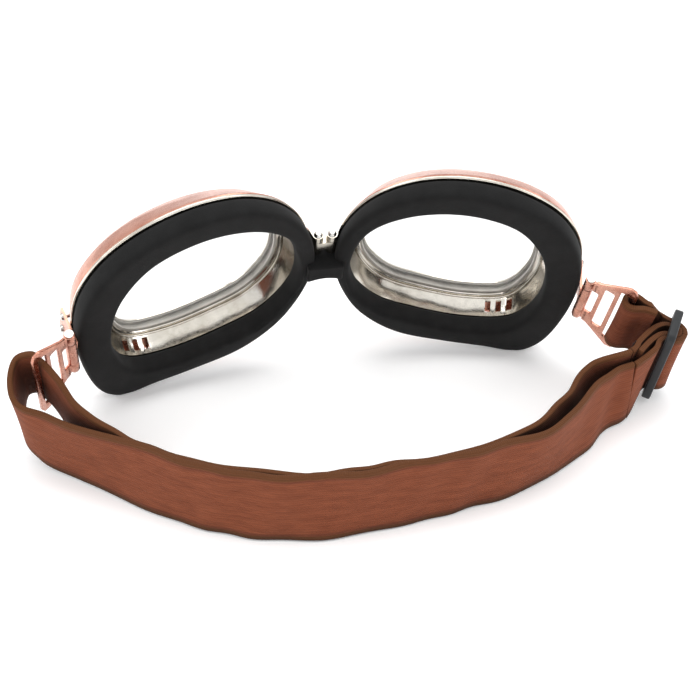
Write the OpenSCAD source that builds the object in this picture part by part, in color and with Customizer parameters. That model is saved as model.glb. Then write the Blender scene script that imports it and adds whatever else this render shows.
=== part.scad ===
// Split-frame riding goggles: two hinged eye cups, foam face pads, folded strap brackets
// and one elastic webbing strap with a three-bar slider. Millimetres, +Z up, standing on z = 0.
// Each eye cup is designed in its own flat frame: +X towards the temple, +Y from the face
// towards the lens, +Z up, with the origin in the middle of the pad's rear face.

/* [Stance] */
// Distance between the middles of the two eye cups
cup_spacing = 83.6; // [80:0.2:90]
// Height of the cup's middle above the table
cup_height = 41.4; // [41:0.1:50]
// Turn of each cup round the face, in degrees
wrap = 16.5; // [12:0.5:20]
// Backward lean of the cups as they rest, in degrees
lean = 26; // [20:0.5:30]
// Turn of each cup in its own plane, temple side down, in degrees
cup_roll = 2; // [0:0.5:4]

/* [Eye cup] */
// Thickness of the foam pad
pad_t = 8; // [6:0.5:10]
// Thickness of the pressed sheet
sheet_t = 0.9; // [0.7:0.05:1.2]
// Overall depth from the pad's rear face to the cover's front
cup_depth = 20.5; // [20:0.5:28]
// How far the metal rim stands out past the foam
rim_out = 0.8; // [0.4:0.1:1.5]
// Thickness of the lens
lens_t = 2; // [1.5:0.1:3]
// Width of the rubber gasket round the lens
gasket_w = 1.2; // [0.9:0.1:1.8]
// Width of one ventilation slot
vent_w = 2; // [1.2:0.1:2.4]
// Distance from slot to slot
vent_pitch = 3.8; // [3.2:0.1:5]

/* [Nose hinge] */
// Distance between the two upright pins
nose_pitch = 4.8; // [4.4:0.1:6]
// Radius of every hinge pin
pin_r = 1; // [0.8:0.05:1.2]
// Wall of a knuckle round its pin
knuckle_wall = 0.9; // [0.7:0.05:1.2]
// Height of the link between the cups
link_h = 3.6; // [3:0.1:5]
// Height of one ear above or below the link
ear_h = 2.4; // [2:0.1:3]

/* [Strap bracket] */
// Distance from the hinge pin to the outermost bar
bracket_len = 15.6; // [14:0.2:18]
// Width of the plate's rim beyond the webbing slot's ends
bracket_rim = 3.25; // [2.5:0.25:4]
// Play of the webbing along its slot
slot_play = 2.5; // [1:0.25:4]
// Height of the bracket at its hinge
bracket_root_h = 21; // [19:0.5:24]
// Thickness of the bracket's plate
bracket_t = 1.6; // [1.2:0.1:2]
// Width of each webbing slot
slot_w = 3.6; // [3.2:0.1:4]
// Width of the bars between the slots
bar_w = 1.6; // [1.4:0.1:2]
// Backward sweep of the plate from the pad's plane, in degrees
sweep = 29; // [24:1:34]
// Droop of the bracket towards its outer end, in degrees
bracket_droop = 6.5; // [3:0.5:10]

/* [Strap and slider] */
// Width of the webbing
web_w = 25; // [22:0.5:25.5]
// Thickness of the webbing
web_t = 1.8; // [1.2:0.1:2]
// Width of the slider's side rails beyond the webbing
slider_rim = 3; // [2:0.25:4]
// Width of the slider's two end bars
end_bar = 2.4; // [2:0.1:3]
// Radius of the slider's centre bar
centre_r = 1.3; // [1:0.1:1.6]
// Room beside the two layers of webbing in the slider's window
weave_play = 0.65; // [0.5:0.05:1.2]
// Thickness of the slider's plate
slider_t = 3; // [2.4:0.1:3.4]

/* [Fits] */
// Radial clearance of a knuckle on its pin
pin_clear = 0.06; // [0.02:0.01:0.1]
// Side clearance between the hinge's knuckles
side_clear = 0.15; // [0.1:0.05:0.3]
// Clearance round the lens and between covers
fit_clear = 0.1; // [0.05:0.05:0.2]

/* [Hidden] */

// The middle of the standing object's plan, moved to the origin
plan_centre = [4.55, -23.79];

pad_colour = "#232323";
steel_colour = "#cfc8bc";
copper_colour = "#cf9782";
web_colour = "#7a4433";
plastic_colour = "#38393b";
dark_colour = "#1b1b1b";

// Outlines of the right cup, seen from the face: temple side at +X
pad_outer_points = [[44, 0], [41.5, 17], [33.5, 31], [20, 41], [4, 45.5], [-12, 43.5], [-26, 34.5],
    [-35.5, 20], [-39, 4], [-36.5, -11], [-29.5, -25.5], [-17, -36], [0, -40.5], [15, -43], [27, -45],
    [35.5, -37.5], [41.5, -20]];
pad_inner_points = [[33, 0], [29.5, 15.5], [20, 28.5], [4, 34.5], [-13, 32.5], [-27, 23], [-34, 7],
    [-34, -10], [-25, -24], [-10, -30.5], [7, -34], [23, -31.5], [31.5, -17]];

// Smooth closed curve through hand-set points, n steps from each to the next
function spline_at(a, b, c, d, t) =
    0.5 * (2 * b + (c - a) * t + (2 * a - 5 * b + 4 * c - d) * t * t + (3 * b - a - 3 * c + d) * t * t * t);
function closed_curve(p, n) = let (k = len(p))
    [for (i = [0:k - 1], j = [0:n - 1])
        spline_at(p[(i + k - 1) % k], p[i], p[(i + 1) % k], p[(i + 2) % k], j / n)];
// Smooth open curve through hand-set rows of any length
function open_curve(p, n) = let (k = len(p))
    concat([for (i = [0:k - 2], j = [0:n - 1])
        spline_at(p[max(i - 1, 0)], p[i], p[i + 1], p[min(i + 2, k - 1)], j / n)], [p[k - 1]]);
function unit(v) = v / norm(v);
// A closed outline moved outwards by d along its normals
function grow(p, d) = let (k = len(p))
    [for (i = [0:k - 1]) let (t = unit(p[(i + 1) % k] - p[(i + k - 1) % k])) p[i] + d * [t[1], -t[0]]];
// The same number of points on two outlines, by angle, so that they can be lofted
function on_ray(p, a) = let (k = len(p), d = [cos(a), sin(a)],
        hits = [for (i = [0:k - 1])
            let (u = p[i], v = p[(i + 1) % k] - p[i], den = d[0] * v[1] - d[1] * v[0],
                s = abs(den) < 1e-9 ? -1 : (u[0] * v[1] - u[1] * v[0]) / den,
                w = abs(den) < 1e-9 ? -1 : (u[0] * d[1] - u[1] * d[0]) / den)
            if (s > 0 && w >= 0 && w < 1) s])
    max(hits) * d;
LOFT = 72;
function rayed(p) = [for (i = [0:LOFT - 1]) on_ray(p, i * 360 / LOFT)];

pad_outer = closed_curve(pad_outer_points, 4);
pad_inner = closed_curve(pad_inner_points, 5);
rim_line = grow(pad_outer, rim_out);
outer_rays = rayed(pad_outer);
inner_rays = rayed(pad_inner);

// Depths inside the cup, from the pad's rear face
flange_y = pad_t;
flange_front = flange_y + 1.2;
lens_y = cup_depth - 4.2;
lens_front = lens_y + lens_t;
lens_scale = 0.93;
window_scale = 0.93;

// ---- placing ----
module at_plan() translate([-plan_centre[0], -plan_centre[1], 0]) children();
module right_cup_frame()
    at_plan() translate([cup_spacing / 2, 0, cup_height]) rotate([0, 0, -wrap]) rotate([lean, 0, 0])
        rotate([0, cup_roll, 0]) children();
module left_cup_frame()
    at_plan() mirror([1, 0, 0]) translate([cup_spacing / 2, 0, cup_height]) rotate([0, 0, -wrap])
        rotate([lean, 0, 0]) rotate([0, cup_roll, 0]) children();
// Prism of a flat outline from depth a to depth b
module slab(a, b) translate([0, b, 0]) rotate([90, 0, 0]) linear_extrude(height = b - a) children();

// Ring-shaped shell lofted through sections [depth, blend from outer to inner line, offset]
module ring_loft(outer, inner, sections) {
    m = len(sections);
    pts = [for (s = sections, i = [0:LOFT - 1])
        let (q = outer[i] * (1 - s[1]) + inner[i] * s[1], r = norm(q) + s[2]) [unit(q)[0] * r, s[0], unit(q)[1] * r]];
    polyhedron(pts, [for (k = [0:m - 1], i = [0:LOFT - 1], half = [0, 1])
        let (j = (i + 1) % LOFT, n = (k + 1) % m, a = k * LOFT + i, c = n * LOFT + j)
            half == 0 ? [a, k * LOFT + j, c] : [a, c, n * LOFT + i]], convexity = 6);
}

// ---- eye cup ----
vent_at = 19;
cup_half_h = 50;
module vent_slots(a, b)
    for (i = [-1:1]) translate([vent_at + i * vent_pitch - vent_w / 2, a, -cup_half_h])
        cube([vent_w, b - a, cup_half_h / 2]);

// Steps along the cup wall, from the flange to the lens seat
seat_y = lens_y - 1;
wall_mid = (flange_y + seat_y) / 2;
module cup_shell() color(steel_colour) difference() {
    union() {
        slab(flange_y, flange_front) difference() {
            polygon(rim_line);
            polygon(grow(pad_inner, 1 + sheet_t / 2));
        }
        ring_loft(inner_rays, inner_rays * lens_scale, [
            [flange_y, 0, 1 + sheet_t], [wall_mid, 0.35, 1 + sheet_t], [seat_y - 2, 0.9, 1 + sheet_t],
            [seat_y - sheet_t, 1, 1 + gasket_w + sheet_t], [seat_y, 1, 1 + gasket_w + sheet_t],
            [seat_y, 1, -0.5], [seat_y - sheet_t, 1, -0.5], [seat_y - sheet_t - 0.3, 0.97, 1],
            [wall_mid, 0.35, 1], [flange_y, 0, 1]]);
    }
    vent_slots(flange_front + 0.4, seat_y - 1.8);
}

module front_cover() color(copper_colour) difference() {
    ring_loft(outer_rays, inner_rays * window_scale, [
        [flange_front + fit_clear, 0, 0.3], [flange_front + 2.5, 0.04, 0.1], [cup_depth - 6.5, 0.25, 0.5],
        [cup_depth - 3, 0.45, 1], [cup_depth - 0.8, 0.72, 0.8], [cup_depth, 1, 0],
        [cup_depth - sheet_t, 1, 0], [cup_depth - 1.7, 0.74, 0.4], [cup_depth - 3.8, 0.47, 0.4],
        [cup_depth - 7.1, 0.27, -0.3], [flange_front + 2.3, 0.05, -0.8], [flange_front + fit_clear, 0.01, -0.6]]);
    vent_slots(flange_front + 1.2, seat_y - 1.8);
    tab_rivet_places() cylinder(r = rivet_r + pin_clear, h = 12, center = true, $fn = 32);
}

module lens_outline(extra) polygon(grow(pad_inner * lens_scale, extra));
module lens() color([0.8, 0.85, 0.86, 0.4]) slab(lens_y, lens_front) lens_outline(0);
module lens_gasket() color(dark_colour) difference() {
    slab(lens_y - 0.9, lens_front + 0.5) lens_outline(gasket_w);
    slab(lens_y - 1.5, lens_front + 1.5) lens_outline(-1.2);
    slab(lens_y, lens_front) lens_outline(0);
}
module lens_ring() color(steel_colour) slab(lens_front + 0.5, lens_front + 1.1) difference() {
    lens_outline(gasket_w - 1);
    lens_outline(-1.6);
}
module face_pad() color(pad_colour) slab(0, pad_t) difference() {
    polygon(pad_outer);
    polygon(pad_inner);
}

// ---- bracket hinge ----
hinge_at = [46.8, 0.5, -8];
knuckle_r = pin_r + knuckle_wall;
tab_h = 12;
rivet_r = 0.8;
rivet_head_r = 1.5;
rivet_tail_r = 1.3;
rivet_reach = 3.4;
rivet_depth = 12.2;
module tab_rivet_places()
    for (s = [-1, 1]) translate([hinge_at[0] - 3, rivet_depth, hinge_at[2] + s * 3.4]) rotate([0, 90, 0])
        children();
module hinge_tab() color(copper_colour) difference() {
    union() {
        translate(hinge_at) rotate([0, bracket_droop, 0])
            cylinder(r = knuckle_r, h = tab_h, center = true, $fn = 48);
        translate([hinge_at[0] - knuckle_r, hinge_at[1], hinge_at[2] - tab_h / 2 + 1])
            cube([knuckle_wall, rivet_depth + 2.5 - hinge_at[1], tab_h - 2]);
    }
    translate(hinge_at) rotate([0, bracket_droop, 0])
        cylinder(r = pin_r + pin_clear, h = tab_h + 2, center = true, $fn = 48);
    tab_rivet_places() cylinder(r = rivet_r + pin_clear, h = 12, center = true, $fn = 32);
}
module tab_rivets() color(steel_colour) tab_rivet_places() {
    translate([0, 0, -rivet_reach]) cylinder(r = rivet_r, h = rivet_reach + 2, $fn = 32);
    translate([0, 0, 2]) cylinder(r1 = rivet_head_r, r2 = 1, h = 0.7, $fn = 32);
    translate([0, 0, -rivet_reach]) cylinder(r = rivet_tail_r, h = 0.5, $fn = 32);
}

// Bracket frame: +X along the plate away from the hinge, +Y outwards from the head, +Z along the pin
module bracket_frame() translate(hinge_at) rotate([0, bracket_droop, 0]) rotate([0, 0, -sweep]) children();
bore_half = tab_h / 2 + side_clear;
module bracket_pin() color(steel_colour) bracket_frame() {
    cylinder(r = pin_r, h = bracket_root_h, center = true, $fn = 48);
    for (s = [-1, 1]) translate([0, 0, s * (bracket_root_h / 2 + 0.4)])
        cylinder(r = pin_r + 0.5, h = 0.8, center = true, $fn = 48);
}
bar_x = bracket_len;
slot3_x = bar_x - bar_w / 2 - slot_w;
slot2_x = slot3_x - bar_w - slot_w;
module bracket_outline() {
    r = bracket_root_h / 2;
    h = (web_w + slot_play) / 2 + bracket_rim;
    e = bar_x + bar_w / 2 + 0.6;
    polygon([[-1.5, -r], [2, -r], [e - 2.5, -h], [e, -h + 2.5], [e, h - 2.5], [e - 2.5, h], [2, r], [-1.5, r]]);
}
module strap_bracket() color(copper_colour) bracket_frame() difference() {
    union() {
        rotate([90, 0, 0]) linear_extrude(height = bracket_t, center = true) bracket_outline();
        for (s = [-1, 1]) translate([0, 0, s * (bore_half + (bracket_root_h / 2 - bore_half) / 2)])
            cylinder(r = knuckle_r, h = bracket_root_h / 2 - bore_half, center = true, $fn = 48);
    }
    cylinder(r = pin_r, h = bracket_root_h + 4, center = true, $fn = 48);
    translate([-4, -4, -bore_half]) cube([4 + knuckle_r + 0.8, 8, 2 * bore_half]);
    translate([slot2_x, -4, -(web_w - 4) / 2]) cube([slot_w, 8, web_w - 4]);
    translate([slot3_x, -4, -(web_w + slot_play) / 2]) cube([slot_w, 8, web_w + slot_play]);
}

// ---- nose hinge ----
// Nose frame: +X to the right cup, +Z along the two pins, which lean back with the cups
nose_at = [0, 10, cup_height + 12.8];
module nose_frame() at_plan() translate(nose_at) rotate([lean, 0, 0]) children();
// The lugs reach out to the cups' inner edges
lug_foot = [cup_spacing / 2 - 36.8, 4.3];
module nose_lug() color(steel_colour) difference() {
    hull() {
        translate([nose_pitch / 2, 0, 0]) cylinder(r = knuckle_r, h = link_h + 2 * (side_clear + ear_h), center = true, $fn = 32);
        translate([lug_foot[0], lug_foot[1], 0]) cylinder(r = 0.7, h = link_h + 2 * (side_clear + ear_h), center = true, $fn = 32);
    }
    translate([nose_pitch / 2, 0, 0]) {
        cylinder(r = knuckle_r + 0.3, h = link_h + 2 * side_clear, center = true, $fn = 48);
        cylinder(r = pin_r + pin_clear, h = 30, center = true, $fn = 48);
    }
}
module nose_link() color(steel_colour) nose_frame() difference() {
    hull() for (s = [-1, 1]) translate([s * nose_pitch / 2, 0, 0])
        cylinder(r = knuckle_r, h = link_h, center = true, $fn = 32);
    for (s = [-1, 1]) translate([s * nose_pitch / 2, 0, 0]) cylinder(r = pin_r, h = 30, center = true, $fn = 48);
}
pin_reach = link_h / 2 + side_clear + ear_h + side_clear;
pin_head = 0.8;
pin_foot = 0.6;
module nose_pin(s) color(steel_colour) nose_frame() translate([s * nose_pitch / 2, 0, 0]) {
    cylinder(r = pin_r, h = 2 * pin_reach, center = true, $fn = 48);
    translate([0, 0, pin_reach]) cylinder(r1 = pin_r + 0.5, r2 = pin_r - 0.1, h = pin_head, $fn = 48);
    translate([0, 0, -pin_reach - pin_foot]) cylinder(r = pin_r + 0.4, h = pin_foot, $fn = 48);
}
tab_size = [3.8, 6.4, 7.4];
module nose_pad() color(pad_colour) nose_frame()
    translate([-tab_size[0] / 2, -4.2, -pin_reach - pin_foot - tab_size[2]]) cube(tab_size);

// ---- strap ----
// Places on the right cup and its bracket, in the standing frame
function turn_x(v, a) = [v[0], v[1] * cos(a) - v[2] * sin(a), v[1] * sin(a) + v[2] * cos(a)];
function turn_y(v, a) = [v[0] * cos(a) + v[2] * sin(a), v[1], v[2] * cos(a) - v[0] * sin(a)];
function turn_z(v, a) = [v[0] * cos(a) - v[1] * sin(a), v[0] * sin(a) + v[1] * cos(a), v[2]];
function on_cup(v) = [cup_spacing / 2, 0, cup_height] + turn_z(turn_x(turn_y(v, cup_roll), lean), -wrap);
function on_bracket(v) = on_cup(hinge_at + turn_y(turn_z(v, -sweep), bracket_droop));
// How far the bracket's bar stands from where the strap's rows were set, and the webbing's extra width
set_bar = [98.96, -18.23, 27.84];
set_web_w = 25;
bar_shift = on_bracket([bracket_len, 0, 0]) - set_bar;
row_shift = bar_shift - [0, 0, (web_w - set_web_w) / 2];
// Rows follow the bracket at their outer end and stay where they were set in the middle
function follow(rows, s) = [for (r = rows) let (w = min(1, max(0, (s * r[0] - 20) / 60)))
    [r[0] + s * w * row_shift[0], r[1] + w * row_shift[1], r[2] + w * row_shift[2], r[3], r[4]]];

// A flat strip of webbing along a smooth path in its own plane, web_w tall
function strip_outline(p, t) = let (k = len(p), s = [for (i = [0:k - 1])
        let (d = unit(p[min(i + 1, k - 1)] - p[max(i - 1, 0)])) [-d[1], d[0]] * t / 2])
    concat([for (i = [0:k - 1]) p[i] + s[i]], [for (i = [k - 1:-1:0]) p[i] - s[i]]);
module strip(p, n) linear_extrude(height = web_w, center = true) polygon(strip_outline(open_curve(p, n), web_t));

// Webbing that stands on its lower edge and leans: rows are [x, y, z of the lower edge, lean x, lean y]
module standing_web(rows, n) {
    q = open_curve(rows, n);
    k = len(q);
    rings = [for (i = [0:k - 1]) let (
            a = q[max(i - 1, 0)], b = q[min(i + 1, k - 1)], t = unit([b[0] - a[0], b[1] - a[1], b[2] - a[2]]),
            up = unit([q[i][3], q[i][4], 1]), side = unit(cross(t, up)) * web_t / 2,
            foot = [q[i][0], q[i][1], max(0, q[i][2]) + abs(side[2])])
        [foot + side, foot - side, foot - side + up * web_w, foot + side + up * web_w]];
    polyhedron([for (r = rings, v = r) v],
        concat([[0, 1, 2], [0, 2, 3], [4 * k - 2, 4 * k - 3, 4 * k - 4], [4 * k - 1, 4 * k - 2, 4 * k - 4]],
            [for (i = [0:k - 2], j = [0:3], half = [0, 1]) let (a = 4 * i + j, b = 4 * i + (j + 1) % 4)
                half == 0 ? [a, b + 4, b] : [a, a + 4, b + 4]]),
        convexity = 8);
}

right_outer_rows = [[100.5, -35.2, 3, 0.05, -0.2], [95, -37.6, 0.6, 0, -0.17], [88, -41, 0, 0, -0.12],
    [82, -47, 0, 0, -0.04], [76, -53, 0, -0.03, -0.04], [66, -60.5, 0, -0.05, -0.14], [56, -65.5, 0, -0.08, -0.28],
    [40, -70.8, 0, -0.05, -0.22], [23, -74.5, 0, -0.04, -0.16], [7, -77.2, 0, -0.03, -0.1], [-8, -79.2, 0, 0, -0.07],
    [-18, -80, 0, 0, -0.04]];
right_inner_rows = [[90.5, -31.5, 5.5, 0, -0.34], [84, -35.5, 3.5, 0, -0.28], [78, -41.5, 2, 0, -0.16],
    [72, -47.5, 0.6, -0.02, -0.08], [63, -54.5, 0, -0.04, -0.14], [53, -59.5, 0, -0.06, -0.26],
    [38, -65, 0, -0.05, -0.22], [22, -69.5, 0, -0.04, -0.16], [7, -72.4, 0, -0.03, -0.1], [-8, -74.6, 0, 0, -0.07],
    [-18, -75.2, 0, 0, -0.04]];
left_rows = [[-21, -80, 0, 0, 0], [-34, -77.6, 0, 0, 0], [-46, -71.8, 0, 0, 0], [-57, -64.4, 0, 0, 0],
    [-70, -53, 0, 0.02, -0.1], [-84, -40, 0, 0, -0.16], [-96, -28.5, 1, -0.04, -0.22], [-104, -20.5, 4.5, -0.1, -0.34],
    [-105.7, -12, 10, -0.1, -0.46], [-104.2, -6.2, 15.6, -0.06, -0.51], [-99.9, -7.8, 18.2, -0.02, -0.515],
    [-97, -10.8, 17, -0.02, -0.515], [-94.3, -14, 14.8, -0.02, -0.5], [-91.6, -18.5, 11.5, -0.02, -0.44],
    [-88.6, -25.5, 6, 0, -0.34], [-83.5, -33.5, 2.4, 0, -0.22], [-76, -41, 0.4, 0, -0.16], [-66, -50, 0, 0.02, -0.1],
    [-54, -60, 0, 0, -0.02], [-44, -66.6, 0, 0, 0], [-33, -72.6, 0, 0, 0], [-21, -75.2, 0, 0, -0.03]];

// Sewn loop round the right bracket's outermost bar, in the bracket's frame
loop_turn = -14;
loop_reach = 6.6;
module strap_end_loop() color(web_colour) right_cup_frame() bracket_frame() translate([bar_x, 0, 0])
    rotate([0, 0, -loop_turn]) strip([[loop_reach, 1.0], [4.5, 1.4], [1.2, 2.6], [-1.2, 2.3], [-2.45, 0], [-1.2, -2.3],
        [1.2, -2.6], [4.5, -1.4], [loop_reach + 1.6, -1.0]], 5);
module end_loop_stitch() color(dark_colour) right_cup_frame() bracket_frame() translate([bar_x, 0, 0])
    rotate([0, 0, -loop_turn]) for (x = [-1.7, -0.5]) for (s = [-1, 1])
        translate([loop_reach + x, s * (1.65 + web_t / 2), 0]) cube([0.6, 0.4, web_w - 3], center = true);

// Slider frame: +X along the strap away from the wearer's back, -Y outwards, +Z along the bars
slider_at = [111.1, -27, 17.6] + bar_shift;
slider_x = unit([0.52, 0.83, 0.19]);
slider_up = unit([0.09, -0.28, 0.955] - slider_x * (slider_x * [0.09, -0.28, 0.955]));
slider_y = cross(slider_up, slider_x);
module slider_frame() at_plan() multmatrix([
    [slider_x[0], slider_y[0], slider_up[0], slider_at[0]], [slider_x[1], slider_y[1], slider_up[1], slider_at[1]],
    [slider_x[2], slider_y[2], slider_up[2], slider_at[2]], [0, 0, 0, 1]]) children();
loop_r = centre_r + 0.15 + web_t / 2;
weave_r = loop_r + web_t + 0.1;
slider_h = web_w + 1 + 2 * slider_rim;
slider_l = 2 * (weave_r + web_t / 2 + weave_play + end_bar);
module slider() color(plastic_colour) slider_frame() union() {
    difference() {
        rotate([90, 0, 0]) linear_extrude(height = slider_t, center = true) {
            square([slider_l - 2, slider_h], center = true);
            square([slider_l, slider_h - 2], center = true);
        }
        cube([slider_l - 2 * end_bar, 8, web_w + 1], center = true);
    }
    cylinder(r = centre_r, h = web_w + 3, center = true, $fn = 48);
}
// Points on an arc round the centre bar, from angle a to angle b
function round_bar(r, a, b) = [for (i = [0:6]) let (t = a + (b - a) * i / 6) r * [cos(t), sin(t)]];
// Sewn end round the centre bar, and the free run that passes over it
module strap_slider_loop() color(web_colour) slider_frame()
    strip(concat([[-13.6, 7.7], [-11, 6.9], [-7.6, 5.6], [-4.4, 3.9], [-2.7, 2]], round_bar(loop_r, 180, 360),
        [[1.9, 2.6], [-0.9, 5.6], [-5.6, 7.9], [-10.4, 9.5], [-16, 11.2]]), 2);
module slider_loop_stitch() color(dark_colour) slider_frame()
    for (x = [0, 2]) translate([-14.5, 10.75, 0]) rotate([0, 0, -17])
        translate([x, web_t / 2 + 0.22, 0]) cube([0.6, 0.4, web_w - 3], center = true);
module strap_weave() color(web_colour) slider_frame()
    strip(concat([[9.5, 4.8], [6.8, 3.3], [4.9, 1.9]], round_bar(weave_r, 350, 190),
        [[-4.7, 1.4], [-6.6, 2.9], [-9.5, 3.7]]), 2);

right_cup_frame() cup_shell();  // right_cup_shell
right_cup_frame() front_cover();  // right_front_cover
right_cup_frame() lens();  // right_lens
right_cup_frame() lens_gasket();  // right_lens_gasket
right_cup_frame() lens_ring();  // right_lens_ring
right_cup_frame() face_pad();  // right_face_pad
right_cup_frame() hinge_tab();  // right_hinge_tab
right_cup_frame() tab_rivets();  // right_tab_rivets
right_cup_frame() bracket_pin();  // right_bracket_pin
right_cup_frame() strap_bracket();  // right_strap_bracket
nose_frame() nose_lug();  // right_nose_lug
left_cup_frame() cup_shell();  // left_cup_shell
left_cup_frame() front_cover();  // left_front_cover
left_cup_frame() lens();  // left_lens
left_cup_frame() lens_gasket();  // left_lens_gasket
left_cup_frame() lens_ring();  // left_lens_ring
left_cup_frame() face_pad();  // left_face_pad
left_cup_frame() hinge_tab();  // left_hinge_tab
left_cup_frame() tab_rivets();  // left_tab_rivets
left_cup_frame() bracket_pin();  // left_bracket_pin
left_cup_frame() strap_bracket();  // left_strap_bracket
nose_frame() mirror([1, 0, 0]) nose_lug();  // left_nose_lug
nose_link();
nose_pin(1);  // right_nose_pin
nose_pin(-1);  // left_nose_pin
nose_pad();
color(web_colour) at_plan() standing_web(follow(right_outer_rows, 1), 4);  // strap_right_outer
color(web_colour) at_plan() standing_web(follow(right_inner_rows, 1), 4);  // strap_right_inner
strap_end_loop();
end_loop_stitch();
color(web_colour) at_plan() standing_web(follow(left_rows, -1), 4);  // strap_left
slider();
strap_slider_loop();
slider_loop_stitch();
strap_weave();
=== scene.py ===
# %% [markdown]
# # Split-frame riding goggles
# Two pressed-metal eye cups with foam face pads hang on a little hinge over the nose. A slotted
# bracket swings at each temple, and one long elastic strap joins the brackets behind the head.
# The engineering model is loaded first, as a fixed frame: every piece made here sits on it,
# rides on one of its bodies, and either gives a CAD part its finish or stands in its place.

# %% Load the frame
import math
import bpy
import bmesh
from mathutils import Matrix, Vector


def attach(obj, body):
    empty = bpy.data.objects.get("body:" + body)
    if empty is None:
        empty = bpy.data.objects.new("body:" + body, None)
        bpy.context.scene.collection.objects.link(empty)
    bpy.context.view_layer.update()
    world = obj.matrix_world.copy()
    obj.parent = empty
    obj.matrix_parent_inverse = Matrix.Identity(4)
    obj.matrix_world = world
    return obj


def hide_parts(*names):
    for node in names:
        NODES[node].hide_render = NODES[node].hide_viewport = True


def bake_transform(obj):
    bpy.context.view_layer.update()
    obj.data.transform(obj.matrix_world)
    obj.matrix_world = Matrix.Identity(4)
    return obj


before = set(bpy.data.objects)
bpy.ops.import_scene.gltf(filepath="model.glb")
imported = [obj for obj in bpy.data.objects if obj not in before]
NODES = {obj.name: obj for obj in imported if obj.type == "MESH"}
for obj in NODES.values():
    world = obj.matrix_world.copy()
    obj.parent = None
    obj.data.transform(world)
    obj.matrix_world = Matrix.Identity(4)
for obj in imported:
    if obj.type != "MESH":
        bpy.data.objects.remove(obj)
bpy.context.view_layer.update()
MM = 0.001

# %% [markdown]
# ## Camera, floor and light
# The goggles stand on a seamless white sheet and are seen from behind and above, as when someone
# is about to put them on. A long lens keeps the two cups the same size. One wide lamp overhead and
# two at the sides make the soft shadows and the long streaks that pressed metal needs.

# %% Camera
camera_data = bpy.data.cameras.new("camera")
camera_data.lens = 77.14
camera_data.sensor_width = 36
camera = bpy.data.objects.new("camera", camera_data)
bpy.context.scene.collection.objects.link(camera)
CAMERA_AT = Vector((-0.08705, -0.40851, 0.2948))
CAMERA_LOOKS_AT = Vector((0.00745, 0.04879, 0))
camera.location = CAMERA_AT
camera.rotation_euler = (CAMERA_LOOKS_AT - CAMERA_AT).to_track_quat("-Z", "Y").to_euler()
bpy.context.scene.camera = camera


# %% One function that adds a shader node
def linear(hex_colour):
    """An sRGB hex colour as the linear numbers a shader wants."""
    parts = [int(hex_colour[i:i + 2], 16) / 255 for i in (1, 3, 5)]
    return tuple(c / 12.92 if c < 0.04045 else ((c + 0.055) / 1.055) ** 2.4 for c in parts) + (1,)


def add(tree, kind, links=(), **settings):
    """Adds a node: settings are its properties or input values, links are (its input, from socket)."""
    made = tree.nodes.new("ShaderNode" + kind)
    for name, value in settings.items():
        if name.startswith("in_"):
            made.inputs[int(name[3:])].default_value = value
        elif hasattr(made, name):
            setattr(made, name, value)
        else:
            made.inputs[name.replace("_", " ")].default_value = value
    for name, source in links:
        tree.links.new(source, made.inputs[name])
    return made


# %% Floor and light
def plain_material(name, colour, roughness):
    made = bpy.data.materials.new(name)
    made.use_nodes = True
    shader = made.node_tree.nodes["Principled BSDF"]
    shader.inputs["Base Color"].default_value = linear(colour)
    shader.inputs["Roughness"].default_value = roughness
    return made


bpy.ops.object.select_all(action="DESELECT")
bpy.ops.mesh.primitive_plane_add(size=12, location=(0, 0, -0.0002))
floor = bpy.context.object
floor.name = "white_sheet"
paper = plain_material("white_paper", "#fcfcfc", 0.9)
paper.node_tree.nodes["Principled BSDF"].inputs["Emission Color"].default_value = linear("#ffffff")
paper.node_tree.nodes["Principled BSDF"].inputs["Emission Strength"].default_value = 0.13
floor.data.materials.append(paper)

world = bpy.data.worlds.new("studio")
world.use_nodes = True
bpy.context.scene.world = world
sky = world.node_tree
sky.nodes.clear()
where = add(sky, "TexCoord")
split = add(sky, "SeparateXYZ", [("Vector", where.outputs["Generated"])])
tone = add(sky, "ValToRGB", [("Fac", split.outputs["Z"])])
tone.color_ramp.elements[0].position = 0.0
tone.color_ramp.elements[0].color = (0.72, 0.73, 0.75, 1)
tone.color_ramp.elements[1].position = 0.75
tone.color_ramp.elements[1].color = (1, 1, 1, 1)
glow = add(sky, "Background", [("Color", tone.outputs["Color"])], Strength=1.12)
add(sky, "OutputWorld", [("Surface", glow.outputs["Background"])])


def soft_lamp(name, at, size, power):
    data = bpy.data.lights.new(name, "AREA")
    data.shape = "RECTANGLE"
    data.size, data.size_y = size
    data.energy = power
    made = bpy.data.objects.new(name, data)
    bpy.context.scene.collection.objects.link(made)
    made.location = at
    made.rotation_euler = (Vector((0, 0, 0.03)) - Vector(at)).to_track_quat("-Z", "Y").to_euler()


soft_lamp("overhead", (0.1, 0.25, 1.5), (1.5, 1.1), 9)
soft_lamp("window_left", (-1.3, -0.2, 0.8), (0.7, 0.9), 4)
soft_lamp("window_right", (1.2, -0.6, 0.9), (0.5, 0.9), 3)
view = bpy.context.scene.view_settings
view.view_transform = "Standard"
view.exposure = 0.0

# %% [markdown]
# ## Finishes
# Pressed brass sheet is copper plated on the outside and nickel plated inside. Plated metal is a
# full metal: its colour is in its reflection, and what tells the eye that it was pressed and
# handled is a faint cloudiness in the roughness and a slow waviness in the highlights.


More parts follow.
